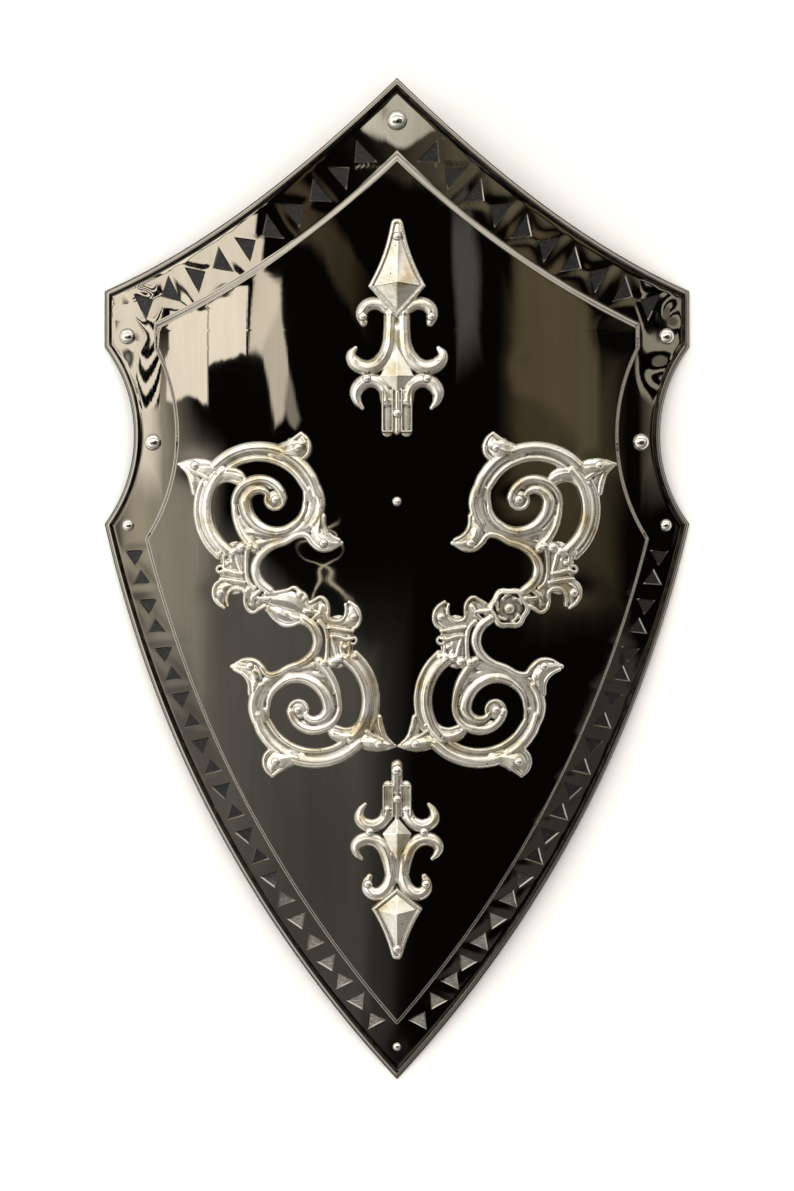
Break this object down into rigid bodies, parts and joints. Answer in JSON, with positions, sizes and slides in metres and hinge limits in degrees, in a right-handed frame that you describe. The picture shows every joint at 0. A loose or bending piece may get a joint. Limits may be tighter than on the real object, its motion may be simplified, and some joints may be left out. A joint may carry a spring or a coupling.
{
  "type": "knight's shield",
  "caption": "Eared knight's shield of pressed polished steel with a pierced-look border and riveted cast scrollwork, lying face up.",
  "frame": {"origin": "middle of the shield's length and width, on the surface it lies on", "axes": "+X to the right as seen from the front, +Y towards the peak, +Z out of the face, straight up as it lies"},
  "size_m": [0.417, 0.712, 0.0592],
  "materials": {
    "black_nickel": "mirror polished with a smoky black nickel tone; the struck windows have matt grained floors",
    "polished_nickel": "polished nickel with a faint warm tone, darker in the hollows"
  },
  "bodies": {
    "root": {"finial_lower": "polished_nickel", "finial_upper": "polished_nickel", "pin_finial_lower_1": "polished_nickel", "pin_finial_lower_2": "polished_nickel", "pin_finial_lower_3": "polished_nickel", "pin_finial_lower_4": "polished_nickel", "pin_finial_lower_5": "polished_nickel", "pin_finial_lower_6": "polished_nickel", "pin_finial_upper_1": "polished_nickel", "pin_finial_upper_2": "polished_nickel", "pin_finial_upper_3": "polished_nickel", "pin_finial_upper_4": "polished_nickel", "pin_finial_upper_5": "polished_nickel", "pin_finial_upper_6": "polished_nickel", "pin_scroll_left_1": "polished_nickel", "pin_scroll_left_10": "polished_nickel", "pin_scroll_left_2": "polished_nickel", "pin_scroll_left_3": "polished_nickel", "pin_scroll_left_4": "polished_nickel", "pin_scroll_left_5": "polished_nickel", "pin_scroll_left_6": "polished_nickel", "pin_scroll_left_7": "polished_nickel", "pin_scroll_left_8": "polished_nickel", "pin_scroll_left_9": "polished_nickel", "pin_scroll_right_1": "polished_nickel", "pin_scroll_right_10": "polished_nickel", "pin_scroll_right_2": "polished_nickel", "pin_scroll_right_3": "polished_nickel", "pin_scroll_right_4": "polished_nickel", "pin_scroll_right_5": "polished_nickel", "pin_scroll_right_6": "polished_nickel", "pin_scroll_right_7": "polished_nickel", "pin_scroll_right_8": "polished_nickel", "pin_scroll_right_9": "polished_nickel", "rivet_centre": "polished_nickel", "rivet_knob": "polished_nickel", "rivet_left_lower_ear": "polished_nickel", "rivet_left_upper_ear": "polished_nickel", "rivet_left_waist": "polished_nickel", "rivet_peak": "polished_nickel", "rivet_right_lower_ear": "polished_nickel", "rivet_right_upper_ear": "polished_nickel", "rivet_right_waist": "polished_nickel", "rivet_tip": "polished_nickel", "scroll_left": "polished_nickel", "scroll_right": "polished_nickel", "shield_plate": "black_nickel"}
  },
  "joints": []
}
